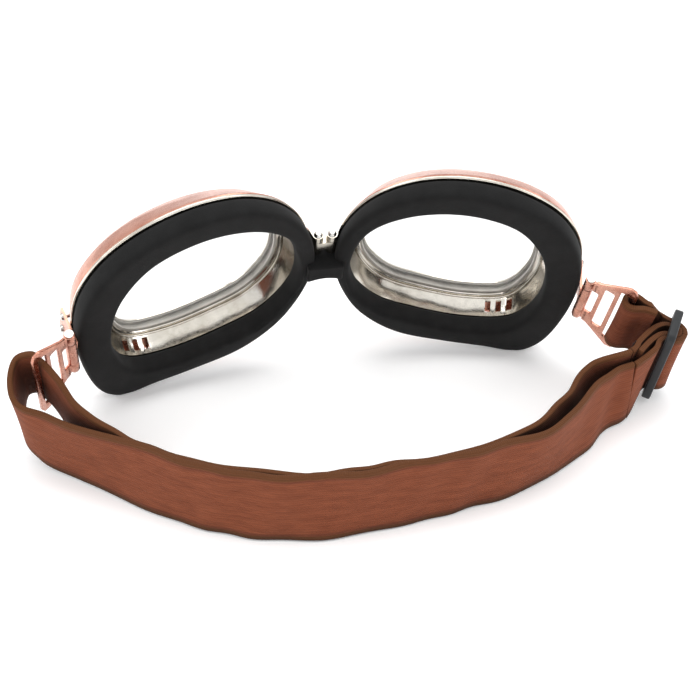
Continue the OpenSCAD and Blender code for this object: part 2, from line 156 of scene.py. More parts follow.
# %% Plated sheet metal
def plated_metal(name, bright, dull, roughness, cloud_mm, wave):
    made = bpy.data.materials.new(name)
    made.use_nodes = True
    tree = made.node_tree
    shader = tree.nodes["Principled BSDF"]
    place = add(tree, "TexCoord")
    cloud = add(tree, "TexNoise", [("Vector", place.outputs["Object"])], Scale=1000 / cloud_mm, Detail=4,
                Roughness=0.6)
    colour = add(tree, "ValToRGB", [("Fac", cloud.outputs["Fac"])])
    colour.color_ramp.elements[0].position, colour.color_ramp.elements[0].color = 0.35, linear(dull)
    colour.color_ramp.elements[1].position, colour.color_ramp.elements[1].color = 0.62, linear(bright)
    fine = add(tree, "TexNoise", [("Vector", place.outputs["Object"])], Scale=1000 / 0.8, Detail=3)
    rough = add(tree, "MapRange", [("Value", fine.outputs["Fac"])], From_Min=0.3, From_Max=0.7,
                To_Min=roughness * 0.75, To_Max=roughness * 1.3)
    slow = add(tree, "TexNoise", [("Vector", place.outputs["Object"])], Scale=1000 / 14, Detail=1)
    bump = add(tree, "Bump", [("Height", slow.outputs["Fac"])], Strength=wave, Distance=0.002)
    grain = add(tree, "Bump", [("Height", fine.outputs["Fac"]), ("Normal", bump.outputs["Normal"])],
                Strength=0.08, Distance=0.0001)
    shader.inputs["Metallic"].default_value = 1
    tree.links.new(colour.outputs["Color"], shader.inputs["Base Color"])
    tree.links.new(rough.outputs["Result"], shader.inputs["Roughness"])
    tree.links.new(grain.outputs["Normal"], shader.inputs["Normal"])
    return made


copper_plate = plated_metal("satin_copper_plate", "#d9a28e", "#c28672", 0.27, 9, 0.15)
nickel_plate = plated_metal("champagne_nickel_plate", "#e4dfd5", "#cbc4b8", 0.16, 12, 0.45)
bright_steel = plated_metal("bright_steel", "#dcdad6", "#b4b0aa", 0.2, 3, 0.1)


# %% [markdown]
# Face foam is closed-cell rubber foam: almost black, dull, with a skin of tiny cells. The lens
# gasket is milky silicone, smooth and pale, so it hardly shows beside the metal. Moulded nylon has
# a fine spark-eroded grain and a soft grey highlight.


# %% Foam, rubber, nylon and lens
def dark_dull(name, low, high, grain_mm, grain_depth, roughness, sheen):
    made = bpy.data.materials.new(name)
    made.use_nodes = True
    tree = made.node_tree
    shader = tree.nodes["Principled BSDF"]
    place = add(tree, "TexCoord")
    cell = add(tree, "TexVoronoi", [("Vector", place.outputs["Object"])], Scale=1000 / grain_mm)
    patch = add(tree, "TexNoise", [("Vector", place.outputs["Object"])], Scale=1000 / 6, Detail=5)
    colour = add(tree, "ValToRGB", [("Fac", patch.outputs["Fac"])])
    colour.color_ramp.elements[0].position, colour.color_ramp.elements[0].color = 0.35, linear(low)
    colour.color_ramp.elements[1].position, colour.color_ramp.elements[1].color = 0.7, linear(high)
    bump = add(tree, "Bump", [("Height", cell.outputs["Distance"])], Strength=0.5,
               Distance=grain_depth * MM)
    tree.links.new(colour.outputs["Color"], shader.inputs["Base Color"])
    tree.links.new(bump.outputs["Normal"], shader.inputs["Normal"])
    shader.inputs["Roughness"].default_value = roughness
    shader.inputs["Sheen Weight"].default_value = sheen
    shader.inputs["Sheen Roughness"].default_value = 0.5
    shader.inputs["Specular IOR Level"].default_value = 0.3
    return made


foam = dark_dull("closed_cell_foam", "#0b0b0b", "#131313", 0.5, 0.1, 0.9, 0.03)
gasket_silicone = dark_dull("milky_silicone", "#a5a19a", "#c0bcb4", 0.8, 0.02, 0.35, 0)
nylon = dark_dull("moulded_nylon", "#202224", "#2a2c2e", 0.35, 0.03, 0.42, 0.05)
thread = dark_dull("waxed_thread", "#2a1712", "#3b2018", 0.3, 0.05, 0.7, 0.2)

lens_glass = bpy.data.materials.new("clear_polycarbonate")
lens_glass.use_nodes = True
lens_tree = lens_glass.node_tree
lens_shader = lens_tree.nodes["Principled BSDF"]
lens_place = add(lens_tree, "TexCoord")
lens_haze = add(lens_tree, "TexNoise", [("Vector", lens_place.outputs["Object"])], Scale=1000 / 25,
                Detail=3)
lens_rough = add(lens_tree, "MapRange", [("Value", lens_haze.outputs["Fac"])], To_Min=0.01, To_Max=0.05)
lens_tree.links.new(lens_rough.outputs["Result"], lens_shader.inputs["Roughness"])
lens_shader.inputs["Base Color"].default_value = linear("#f4f7f7")
lens_shader.inputs["IOR"].default_value = 1.58
lens_shader.inputs["Alpha"].default_value = 0.1


# %% [markdown]
# The strap is woven elastic, one inch wide. Rubber cores run along it and show as fine ribs, the
# weft crosses them as short stitches, and a denser olive-brown edge band stops it fraying. The
# pattern follows the strap's own UV map, whose u and v are the real distances in metres.


# %% Woven elastic
WEB_W = 0.025
WEB_T = 0.0018


def woven_elastic():
    made = bpy.data.materials.new("woven_elastic")
    made.use_nodes = True
    tree = made.node_tree
    shader = tree.nodes["Principled BSDF"]
    uv = add(tree, "UVMap", uv_map="UVMap")
    part = add(tree, "SeparateXYZ", [("Vector", uv.outputs["UV"])])
    # ribs along the strap, 0.9 mm apart, and weft stitches 0.7 mm apart
    rib = add(tree, "Math", [(0, part.outputs["Y"])], operation="MULTIPLY", in_1=2 * math.pi / 0.0009)
    rib_wave = add(tree, "Math", [(0, rib.outputs[0])], operation="SINE")
    weft = add(tree, "Math", [(0, part.outputs["X"])], operation="MULTIPLY", in_1=2 * math.pi / 0.0007)
    weft_wave = add(tree, "Math", [(0, weft.outputs[0])], operation="SINE")
    knit = add(tree, "Math", [(0, rib_wave.outputs[0]), (1, weft_wave.outputs[0])], operation="MULTIPLY")
    height = add(tree, "Math", [(0, knit.outputs[0]), (1, rib_wave.outputs[0])], operation="ADD")
    # streaks stretched along the strap
    stretch = add(tree, "Mapping", [("Vector", uv.outputs["UV"])], Scale=(1, 5, 1))
    streak = add(tree, "TexNoise", [("Vector", stretch.outputs["Vector"])], Scale=1000 / 9, Detail=5,
                 Roughness=0.65)
    body = add(tree, "ValToRGB", [("Fac", streak.outputs["Fac"])])
    body.color_ramp.elements[0].position, body.color_ramp.elements[0].color = 0.2, linear("#66321c")
    body.color_ramp.elements[1].position, body.color_ramp.elements[1].color = 0.82, linear("#8a4b30")
    # the edge bands: distance from the middle of the strap
    middle = add(tree, "Math", [(0, part.outputs["Y"])], operation="SUBTRACT", in_1=WEB_W / 2)
    away = add(tree, "Math", [(0, middle.outputs[0])], operation="ABSOLUTE")
    band = add(tree, "MapRange", [("Value", away.outputs[0])], From_Min=WEB_W / 2 - 0.0019,
               From_Max=WEB_W / 2 - 0.0014)
    banded = add(tree, "Mix", [("Factor", band.outputs["Result"]), ("A", body.outputs["Color"])],
                 data_type="RGBA")
    banded.inputs[7].default_value = linear("#5e371c")
    line = add(tree, "Math", [(0, away.outputs[0])], operation="COMPARE", in_1=WEB_W / 2 - 0.0021,
               in_2=0.0003)
    soft_line = add(tree, "Math", [(0, line.outputs[0])], operation="MULTIPLY", in_1=0.35)
    lined = add(tree, "Mix", [(0, soft_line.outputs[0]), (6, banded.outputs[2])], data_type="RGBA")
    lined.inputs[7].default_value = linear("#3c1f18")
    tint = add(tree, "MapRange", [("Value", height.outputs[0])], From_Min=-2, From_Max=2, To_Min=0.82,
               To_Max=1.12)
    shade = add(tree, "Mix", data_type="RGBA", blend_type="MULTIPLY")
    shade.inputs[0].default_value = 1
    tree.links.new(lined.outputs[2], shade.inputs[6])
    tree.links.new(tint.outputs["Result"], shade.inputs[7])
    # painted shade: an ambient-occlusion node darkens the base colour where cloth lies tucked between two
    # layers
    crease_occlusion = add(tree, "AmbientOcclusion", Distance=0.011)
    painted_crease_shade = add(tree, "MapRange", [("Value", crease_occlusion.outputs["AO"])], From_Min=0.15, From_Max=0.75,
               To_Min=0.12, To_Max=1)
    shaded = add(tree, "Mix", [(6, shade.outputs[2]), (7, painted_crease_shade.outputs["Result"])], data_type="RGBA",
                 blend_type="MULTIPLY")
    shaded.inputs[0].default_value = 1
    tree.links.new(shaded.outputs[2], shader.inputs["Base Color"])
    weave = add(tree, "Bump", [("Height", height.outputs[0])], Strength=0.45, Distance=0.0001)
    pucker = add(tree, "TexNoise", [("Vector", stretch.outputs["Vector"])], Scale=1000 / 5, Detail=2)
    soft = add(tree, "Bump", [("Height", pucker.outputs["Fac"]), ("Normal", weave.outputs["Normal"])],
               Strength=0.25, Distance=0.0006)
    tree.links.new(soft.outputs["Normal"], shader.inputs["Normal"])
    shader.inputs["Roughness"].default_value = 0.82
    shader.inputs["Sheen Weight"].default_value = 0.1
    shader.inputs["Sheen Roughness"].default_value = 0.4
    shader.inputs["Sheen Tint"].default_value = linear("#c98f74")
    shader.inputs["Specular IOR Level"].default_value = 0.25
    return made


elastic = woven_elastic()

# %% [markdown]
# ## Places
# Each piece is easiest to make in its own frame: a cup lies flat, a bracket lies along its plate,
# the slider along its bars. These matrices put such a frame where the engineering model has it.

# %% The frames of the pieces
SHIFT = Vector((-4.55, 23.79, 0))
WRAP, LEAN, ROLL, SWEEP, DROOP = 16.5, 26, 2, 29, 6.5
CUP_SPACING, CUP_HEIGHT = 83.6, 41.4
HINGE = Vector((46.8, 0.5, -8))


def turn(axis, degrees):
    return Matrix.Rotation(math.radians(degrees), 4, axis)


def cup_frame(side):
    right = (Matrix.Translation((CUP_SPACING / 2, 0, CUP_HEIGHT)) @ turn("Z", -WRAP) @ turn("X",
            LEAN) @ turn("Y", ROLL))
    mirrored = Matrix.Scale(-1, 4, (1, 0, 0)) if side == "left" else Matrix.Identity(4)
    return Matrix.Scale(MM, 4) @ Matrix.Translation(SHIFT) @ mirrored @ right


def bracket_frame(side):
    return cup_frame(side) @ Matrix.Translation(HINGE) @ turn("Y", DROOP) @ turn("Z", -SWEEP)


NOSE = Matrix.Scale(MM, 4) @ Matrix.Translation(SHIFT) @ Matrix.Translation((0, 10,
        CUP_HEIGHT + 12.8)) @ turn("X", LEAN)
slider_x = Vector((0.52, 0.83, 0.19)).normalized()
slider_z = Vector((0.09, -0.28, 0.955))
slider_z = (slider_z - slider_x * slider_z.dot(slider_x)).normalized()
slider_y = slider_z.cross(slider_x)
SLIDER = Matrix.Scale(MM, 4) @ Matrix.Translation(SHIFT) @ Matrix.Translation((111.1, -27,
                                                                               17.6)) @ Matrix(
    (slider_x, slider_y, slider_z)).transposed().to_4x4()
print("slider at", [round(v, 4) for v in SLIDER.translation])


# %% Helpers for pieces
def smooth_curve(points, steps, closed):
    """A smooth curve through given points of any length, the same number of steps in each gap."""
    count = len(points)
    gaps = count if closed else count - 1
    made = []
    for i in range(gaps):
        a, b, c, d = [points[k % count] if closed else points[min(max(k, 0), count - 1)]
                      for k in (i - 1, i, i + 1, i + 2)]
        for j in range(steps):
            t = j / steps
            made.append([0.5 * (2 * q + (r - p) * t + (2 * p - 5 * q + 4 * r - s) * t * t
                                + (3 * q - p - 3 * r + s) * t ** 3)
                         for p, q, r, s in zip(a, b, c, d)])
    return made if closed else made + [list(points[-1])]


def into_place(obj, matrix):
    """Writes a placing matrix into the mesh, so that the finished object itself stays at the origin."""
    obj.data.transform(matrix @ obj.matrix_world)
    obj.matrix_world = Matrix.Identity(4)
    bpy.ops.object.select_all(action="DESELECT")
    bpy.context.view_layer.objects.active = obj
    obj.select_set(True)
    bpy.ops.object.mode_set(mode="EDIT")
    bpy.ops.mesh.select_all(action="SELECT")
    bpy.ops.mesh.remove_doubles(threshold=0.000002)
    bpy.ops.mesh.normals_make_consistent(inside=False)
    bpy.ops.object.mode_set(mode="OBJECT")
    return obj


def apply_modifiers(obj):
    bpy.ops.object.select_all(action="DESELECT")
    bpy.context.view_layer.objects.active = obj
    obj.select_set(True)
    for name in [m.name for m in obj.modifiers]:
        bpy.ops.object.modifier_apply(modifier=name)


def settle(obj, name, material, body, replaces=()):
    obj.name = name
    obj.data.materials.clear()
    obj.data.materials.append(material)
    if isinstance(body, str):
        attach(obj, body)
    else:
        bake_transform(obj)
    if replaces:
        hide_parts(*replaces)
    print(name, len(obj.data.polygons), "faces")
    return obj


def joined(objects):
    bpy.ops.object.select_all(action="DESELECT")
    for o in objects:
        o.select_set(True)
    bpy.context.view_layer.objects.active = objects[0]
    if len(objects) > 1:
        bpy.ops.object.join()
    return objects[0]


# %% [markdown]
# ## Eye cups
# A cup is three pressings: an inner wall with a flange for the foam, an outer dome with the window
# for the lens, and a rolled edge that clamps them. Pressings are surfaces of one thickness, so
# each is drawn as a ring of edges that is extruded again and again, each new ring set to the next
# outline, and is closed back onto the first ring.

# %% Outlines of the cup
PAD_OUTER = [(44, 0), (41.5, 17), (33.5, 31), (20, 41), (4, 45.5), (-12, 43.5), (-26, 34.5), (-35.5, 20),
             (-39, 4),
             (-36.5, -11), (-29.5, -25.5), (-17, -36), (0, -40.5), (15, -43), (27, -45), (35.5, -37.5),
             (41.5, -20)]
PAD_INNER = [(33, 0), (29.5, 15.5), (20, 28.5), (4, 34.5), (-13, 32.5), (-27, 23), (-34, 7), (-34, -10),
             (-25, -24),
             (-10, -30.5), (7, -34), (23, -31.5), (31.5, -17)]
RAYS = 180


def on_rays(points):
    """The outline's reach from the cup's middle in RAYS even directions."""
    line = smooth_curve(points, 12, True)
    reach = []
    for i in range(RAYS):
        a = 2 * math.pi * i / RAYS
        dx, dy = math.cos(a), math.sin(a)
        best = 0
        for (ux, uy), (wx, wy) in zip(line, line[1:] + line[:1]):
            vx, vy = wx - ux, wy - uy
            den = dx * vy - dy * vx
            if abs(den) > 1e-9:
                s, w = (ux * vy - uy * vx) / den, (ux * dy - uy * dx) / den
                if s > best and 0 <= w < 1:
                    best = s
        reach.append(best)
    return reach


outer_reach = on_rays(PAD_OUTER)
inner_reach = on_rays(PAD_INNER)


def ring_shell(sections, bulge=None):
    """Extrudes a circle of edges through sections [depth, mix of outer and inner line, offset, scale]."""
    bpy.ops.object.select_all(action="DESELECT")
    bpy.ops.mesh.primitive_circle_add(vertices=RAYS, radius=1)
    obj = bpy.context.object

    def place(verts, section):
        depth, mix, offset, scale = section
        for v, i in verts:
            r = outer_reach[i] * (1 - mix) + inner_reach[i] * scale * mix + offset
            a = 2 * math.pi * i / RAYS
            if bulge:
                r += bulge(a, mix)
            v.co = Vector((r * math.cos(a), depth, r * math.sin(a)))

    bpy.ops.object.mode_set(mode="EDIT")
    bpy.ops.mesh.select_mode(type="VERT")
    mesh = bmesh.from_edit_mesh(obj.data)
    mesh.verts.ensure_lookup_table()
    order = {v.index: round(math.atan2(v.co.y, v.co.x) / (2 * math.pi) * RAYS) % RAYS for v in mesh.verts}
    place([(v, order[v.index]) for v in mesh.verts], sections[0])
    bmesh.update_edit_mesh(obj.data)
    for section in sections[1:]:
        bpy.ops.mesh.extrude_region_move()
        mesh = bmesh.from_edit_mesh(obj.data)
        fresh = [v for v in mesh.verts if v.select]
        pairs = []
        for v in fresh:
            source = next(e.other_vert(v) for e in v.link_edges if not e.other_vert(v).select)
            order[v.index] = order[source.index]
            pairs.append((v, order[v.index]))
        place(pairs, section)
        bmesh.update_edit_mesh(obj.data)
    # the two open circles that are left are the first and the last
    bpy.ops.mesh.select_mode(type="EDGE")
    bpy.ops.mesh.select_all(action="DESELECT")
    mesh = bmesh.from_edit_mesh(obj.data)
    for e in mesh.edges:
        e.select_set(e.is_boundary)
    bmesh.update_edit_mesh(obj.data)
    bpy.ops.mesh.bridge_edge_loops()
    bpy.ops.mesh.select_all(action="SELECT")
    bpy.ops.mesh.normals_make_consistent(inside=False)
    bpy.ops.object.mode_set(mode="OBJECT")
    return obj


def smooth_shade(obj, degrees):
    bpy.ops.object.select_all(action="DESELECT")
    bpy.context.view_layer.objects.active = obj
    obj.select_set(True)
    bpy.ops.object.shade_smooth_by_angle(angle=math.radians(degrees))


def bevel(obj, width_mm, segments=2, degrees=30):
    made = obj.modifiers.new("edge", "BEVEL")
    made.width = width_mm
    made.segments = segments
    made.limit_method = "ANGLE"
    made.angle_limit = math.radians(degrees)
    apply_modifiers(obj)


def box_piece(low, high):
    """A cube with the given corners, in the piece's own frame."""
    low, high = Vector(low), Vector(high)
    bpy.ops.object.select_all(action="DESELECT")
    bpy.ops.mesh.primitive_cube_add(size=1, location=(low + high) / 2)
    obj = bpy.context.object
    obj.scale = high - low
    bpy.ops.object.transform_apply(location=True, rotation=True, scale=True)
    return obj


def cut(obj, cutters):
    for cutter in cutters:
        m = obj.modifiers.new("cut", "BOOLEAN")
        m.operation = "DIFFERENCE"
        m.solver = "EXACT"
        m.object = cutter
    apply_modifiers(obj)
    for cutter in cutters:
        bpy.data.objects.remove(cutter, do_unlink=True)


# %% The three pressings of a cup
PAD_T, DEPTH, RIM = 7.4, 20.5, 0.8
SEAT = DEPTH - 5.2
VENT_X = (15.2, 19, 22.8)


def vents(low, high):
    made = []
    for x in VENT_X:
        v = box_piece((x - 1, low, -50), (x + 1, high, -25))
        made.append(v)
    return made


BROW, TEMPLE, NOSE_CHEEK = 95, 14, 238  # directions round the cup, in degrees


def toward(a, direction):
    """1 in a direction round the cup, falling to 0 a quarter turn away."""
    return max(0, math.cos(a - math.radians(direction))) ** 2


def rim_drop(a, mix):
    """The rim sits lower over the brow than a plain ring would."""
    return -1.6 * (1 - mix) * toward(a, BROW)


def inner_wall():
    middle = (PAD_T + SEAT) / 2
    wall = ring_shell([
        (PAD_T + 0.05, 0, RIM - 0.2, 1), (PAD_T + 1.15, 0, RIM - 0.2, 1), (PAD_T + 1.15, 0.55, 2.2, 1),
        (middle, 0.985, 2.0, 0.97), (SEAT - 2.2, 1, 1.9, 0.94), (SEAT - 0.9, 1, 3.0, 0.93),
        (SEAT, 1, 3.0, 0.93),
        (SEAT, 1, -0.3, 0.93), (SEAT - 0.4, 1, -0.5, 0.93), (SEAT - 0.8, 1, -0.3, 0.93),
        (SEAT - 1.2, 1, 0.9, 0.93),
        (SEAT - 2.3, 1, 1.0, 0.94), (middle, 0.99, 1.0, 0.97), (PAD_T + 0.25, 1, 1.0, 1),
        (PAD_T + 0.05, 1, 1.4, 1)], rim_drop)
    cut(wall, vents(PAD_T + 1.8, SEAT - 2.3))
    return wall


def temple_fullness(a, mix):
    """How much fuller the dome is towards the temple, and how much lower over the brow, in millimetres."""
    return 4.2 * toward(a, TEMPLE) * math.sin(math.pi * mix) + rim_drop(a, mix)


def outer_dome():
    front = PAD_T + 1.3
    dome = ring_shell([
        (front, 0, 0.3, 1), (front + 0.4, 0, 0.5, 1), (front + 1, 0.02, 0.3, 1),
        (front + 2.4, 0.16, 0.2, 0.93),
        (DEPTH - 6.5, 0.38, 0.3, 0.93), (DEPTH - 4.6, 0.55, 0.4, 0.93), (DEPTH - 2.8, 0.71, 0.5, 0.93),
        (DEPTH - 1.3, 0.84, 0.5, 0.93), (DEPTH - 0.4, 0.94, 0.4, 0.93), (DEPTH, 0.98, 0.1, 0.93),
        (DEPTH - 0.35, 1, -0.2, 0.93), (DEPTH - 0.9, 1, 0, 0.93), (DEPTH - 1.2, 0.95, 0, 0.93),
        (DEPTH - 2.1, 0.85, 0, 0.93), (DEPTH - 3.6, 0.72, -0.2, 0.93), (DEPTH - 7, 0.4, -0.5, 0.93),
        (front + 2.2, 0.18, -0.7, 0.93), (front, 0.03, -0.5, 1)], temple_fullness)
    cut(dome, vents(PAD_T + 2.4, SEAT - 2.3))
    return dome


def bead(line, depth, radius):
    """A bright round wire bead round the cup, on a given outline."""
    curve = bpy.data.curves.new("bead", "CURVE")
    curve.dimensions = "3D"
    curve.bevel_depth = radius
    curve.bevel_resolution = 3
    spline = curve.splines.new("POLY")
    spline.points.add(len(line) - 1)
    spline.use_cyclic_u = True
    for point, (x, z) in zip(spline.points, line):
        point.co = (x, depth, z, 1)
    obj = bpy.data.objects.new("bead", curve)
    bpy.context.scene.collection.objects.link(obj)
    bpy.ops.object.select_all(action="DESELECT")
    bpy.context.view_layer.objects.active = obj
    obj.select_set(True)
    bpy.ops.object.convert(target="MESH")
    return bpy.context.object


def reach_line(mix, offset, scale=1.0):
    line = []
    for i in range(RAYS):
        a = 2 * math.pi * i / RAYS
        r = outer_reach[i] * (1 - mix) + inner_reach[i] * scale * mix + offset + rim_drop(a, mix)
        line.append((r * math.cos(a), r * math.sin(a)))
    return line


for side in ("right", "left"):
    place = cup_frame(side)
    wall = into_place(inner_wall(), place)
    smooth_shade(wall, 35)
    settle(wall, side + "_inner_wall", nickel_plate, side + "_cup", [side + "_cup_shell"])
    dome = into_place(outer_dome(), place)
    smooth_shade(dome, 40)
    settle(dome, side + "_outer_dome", copper_plate, side + "_cup", [side + "_front_cover"])
    rim = into_place(bead(reach_line(0, RIM - 0.35), PAD_T + 0.6, 0.5), place)
    smooth_shade(rim, 60)
    settle(rim, side + "_rolled_rim", nickel_plate, side + "_cup")
    seat = into_place(bead(reach_line(1, 0.4, 0.935), SEAT - 1.6, 0.3), place)
    smooth_shade(seat, 60)
    settle(seat, side + "_lens_bead", nickel_plate, side + "_cup")

# %% [markdown]
# ## Face pads
# Each pad is one ring of closed-cell foam, a little over 7 mm thick, cut with square edges that
# soften as the foam is skinned. The ring is drawn with its corners already rounded, a little fuller
# than its metal backing, and is then swollen by Cloth with inner pressure, as a padded piece is.


# %% The pads
def foam_fullness(a, mix):
    """The foam runs a little past its rim under the eye and beside the nose."""
    return (1 - mix) * (1.5 * toward(a, NOSE_CHEEK) - 0.9 * toward(a, BROW))


def pad_ring():
    face = [(0.02, m, 0, 1) for m in (0.25, 0.4, 0.5, 0.6, 0.75)]
    back = [(PAD_T, m, 0, 1) for m in (0.8, 0.6, 0.4, 0.2)]
    return ring_shell([
        (4.2, 0, 0.8, 1), (2.4, 0, 0.75, 1), (1.1, 0, 0.5, 1), (0.35, 0, -0.1, 1),
        (0.02, 0, -1.1, 1)] + face + [
        (0.02, 1, 1.3, 1), (0.35, 1, 0.4, 1), (1.1, 1, -0.2, 1), (2.4, 1, -0.4, 1), (4.2, 1, -0.45, 1),
        (6, 1, -0.35, 1),
        (6.9, 1, 0, 1), (PAD_T, 1, 0.8, 1)] + back + [(PAD_T, 0, -0.5, 1), (7, 0, 0.3, 1),
                                                      (5.6, 0, 0.7, 1)], foam_fullness)


def swell(obj, pressure, cap_mm):
    """A short Cloth run with pressure and no gravity, and a cap on how far a point moves."""
    before = [v.co.copy() for v in obj.data.vertices]
    cloth = obj.modifiers.new("swell", "CLOTH")
    cloth.settings.use_pressure = True
    cloth.settings.uniform_pressure_force = pressure
    cloth.settings.effector_weights.gravity = 0
    cloth.settings.quality = 5
    cloth.point_cache.frame_start = 1
    cloth.point_cache.frame_end = 20
    for f in range(1, 21):
        bpy.context.scene.frame_set(f)
    apply_modifiers(obj)
    far = 0
    for v, start in zip(obj.data.vertices, before):
        move = v.co - start
        if move.length > cap_mm * MM:
            v.co = start + move.normalized() * cap_mm * MM
        far = max(far, (v.co - start).length)
    print("swelled by up to %.2f mm" % (far * 1000))
    bpy.context.scene.frame_set(1)


def soften(obj, steps, factor):
    m = obj.modifiers.new("soft", "SMOOTH")
    m.iterations = steps
    m.factor = factor
    apply_modifiers(obj)
    s = obj.modifiers.new("fine", "SUBSURF")
    s.levels = s.render_levels = 1
    apply_modifiers(obj)
    smooth_shade(obj, 180)


for side in ("right", "left"):
    pad = into_place(pad_ring(), cup_frame(side) @ Matrix.Translation((0, 0, -0.7)))
    swell(pad, 1.5, 0.3)
    soften(pad, 2, 0.4)
    for v in pad.data.vertices:
        v.co.z = max(v.co.z, 0)  # the foam is pressed flat where it stands
    settle(pad, side + "_foam_pad", foam, side + "_cup", [side + "_face_pad"])

# %% [markdown]
# Over the nose the foam goes on as a short tab below the hinge, so that no metal touches skin. It
# is a block with its middle pulled in and all its edges rounded, and it stays with the nose link.

# %% Nose tab
tab = box_piece((-6.2, -7.2, -13.6), (6.2, 1.6, -5.2))
bpy.context.view_layer.objects.active = tab
bpy.ops.object.mode_set(mode="EDIT")
bpy.ops.mesh.select_all(action="SELECT")
bpy.ops.mesh.subdivide(number_cuts=7)
bpy.ops.object.mode_set(mode="OBJECT")
for v in tab.data.vertices:
    pull = 1 - (v.co.x / 6.2) ** 2
    v.co.z = -9.4 + (v.co.z + 9.4) * (1 - 0.16 * pull)
    v.co.y += 0.6 * pull
bevel(tab, 1.0, 3, 50)
into_place(tab, NOSE)
smooth_shade(tab, 60)
settle(tab, "nose_foam_tab", foam, "bridge", ["nose_pad"])

# %% [markdown]
# ## Strap brackets
# The bracket is a pressed copper plate, narrow at its hinge and as wide as the strap at its outer
# bar. Three slots leave thin bars for the strap, and the edge is turned up into a lip that stops
# the plate bending. It starts as a filled outline, gets its thickness, its lip by an inset and an
# extrude, and its slots by cutting.

# %% The brackets
BAR_X, BAR_W, SLOT_W, ROOT_H, PLATE_T = 15.6, 1.6, 3.6, 21.0, 1.2
SLOT3 = BAR_X - BAR_W / 2 - SLOT_W
SLOT2 = SLOT3 - BAR_W - SLOT_W


def rounded_cutter(x0, x1, half, r):
    c = box_piece((x0, -4, -half), (x1, 4, half))
    bpy.ops.object.mode_set(mode="EDIT")
    mesh = bmesh.from_edit_mesh(c.data)
    for e in mesh.edges:
        d = e.verts[0].co - e.verts[1].co
        e.select = abs(d.y) > 1
    bmesh.update_edit_mesh(c.data)
    bpy.ops.mesh.bevel(offset=r, segments=4, affect="EDGES")
    bpy.ops.object.mode_set(mode="OBJECT")
    return c


def bracket_plate():
    r, h, e = ROOT_H / 2 + 0.9, (25 + 2.5) / 2 + 3.9, BAR_X + BAR_W / 2 + 0.5
    outline = [(2.2, -r), (4, -r - 0.3), (e - 3.4, -h), (e - 1, -h + 0.4), (e, -h + 2.6), (e, h - 2.6),
               (e - 1, h - 0.4), (e - 3.4, h), (4, r + 0.3), (2.2, r)]
    bpy.ops.object.select_all(action="DESELECT")
    bpy.ops.mesh.primitive_circle_add(vertices=len(outline), fill_type="NGON")
    plate = bpy.context.object
    bpy.ops.object.mode_set(mode="EDIT")
    mesh = bmesh.from_edit_mesh(plate.data)
    mesh.verts.ensure_lookup_table()
    for v, (x, z) in zip(mesh.verts, outline):
        v.co = (x, -PLATE_T / 2, z)
    bmesh.update_edit_mesh(plate.data)
    bpy.ops.mesh.select_all(action="SELECT")
    bpy.ops.mesh.extrude_region_move(TRANSFORM_OT_translate={"value": (0, PLATE_T, 0)})
    bpy.ops.mesh.select_all(action="SELECT")
    bpy.ops.mesh.normals_make_consistent(inside=False)
    mesh = bmesh.from_edit_mesh(plate.data)
    for f in mesh.faces:
        f.select = f.normal.y > 0.9
    bmesh.update_edit_mesh(plate.data)
    bpy.ops.mesh.inset(thickness=1.05)
    mesh = bmesh.from_edit_mesh(plate.data)
    for f in mesh.faces:
        f.select = f.normal.y > 0.9 and not f.select
    bmesh.update_edit_mesh(plate.data)
    bpy.ops.mesh.extrude_region_move(TRANSFORM_OT_translate={"value": (0, 0.65, 0)})
    bpy.ops.object.mode_set(mode="OBJECT")
    cut(plate, [rounded_cutter(SLOT3, SLOT3 + SLOT_W, 13.75, 0.8),
                rounded_cutter(SLOT2, SLOT2 + SLOT_W, 10.5, 0.8),
                rounded_cutter(-1, SLOT2 - BAR_W, 6.15, 0.6)])
    bevel(plate, 0.28, 2, 40)
    return plate


def knuckle(low, high, radius):
    bpy.ops.object.select_all(action="DESELECT")
    bpy.ops.mesh.primitive_cylinder_add(vertices=40, radius=radius, depth=high - low,
                                        location=(0, 0, (low + high) / 2))
    obj = bpy.context.object
    bpy.ops.object.transform_apply(location=True, rotation=True, scale=True)
    bevel(obj, 0.25, 2, 50)
    return obj


for side in ("right", "left"):
    parts = [bracket_plate()]
    for sign in (-1, 1):
        low, high = sorted((sign * 6.2, sign * ROOT_H / 2))
        parts.append(knuckle(low, high, 1.9))
        arm = box_piece((0.2, -0.6, low), (3.4, 0.6, high))
        bevel(arm, 0.2, 2, 50)
        parts.append(arm)
    bracket = into_place(joined(parts), bracket_frame(side))
    smooth_shade(bracket, 35)
    settle(bracket, side + "_slotted_bracket", copper_plate, side + "_bracket",
           [side + "_strap_bracket"])

# %% [markdown]
# ## Strap
# The strap is one length of elastic, standing on its edge where it lies on the table: from its
# sewn loop on the right bracket it goes through the slider, round behind the head, through the left
# bracket's outer slot and back, to its sewn end on the slider's centre bar. Its middle line is given
# as rows: the lower edge's place, and which way the strap leans there. A flat grid is then
# laid along the rows, so its own UV map still measures the real cloth, and Solidify thickens it.


# %% The strap's rows
def world_row(matrix, x, y, up, sink=WEB_W / 2 / MM):
    """A row at a point of a piece's own plan, with the strap's middle on that plan."""
    up = (matrix.to_3x3() @ Vector(up)).normalized()
    foot = matrix @ Vector((x, y, 0)) - up * sink * MM
    return [*foot, *up]


def table_row(x, y, z, lean_x, lean_y):
    up = Vector((lean_x, lean_y, 1)).normalized()
    return [(x + SHIFT.x) * MM, (y + SHIFT.y) * MM, max(0.25, z + 0.3) * MM, *up]


def arc(radius, start, end, count):
    return [(radius * math.cos(math.radians(start + (end - start) * i / count)),
             radius * math.sin(math.radians(start + (end - start) * i / count)))
            for i in range(count + 1)]


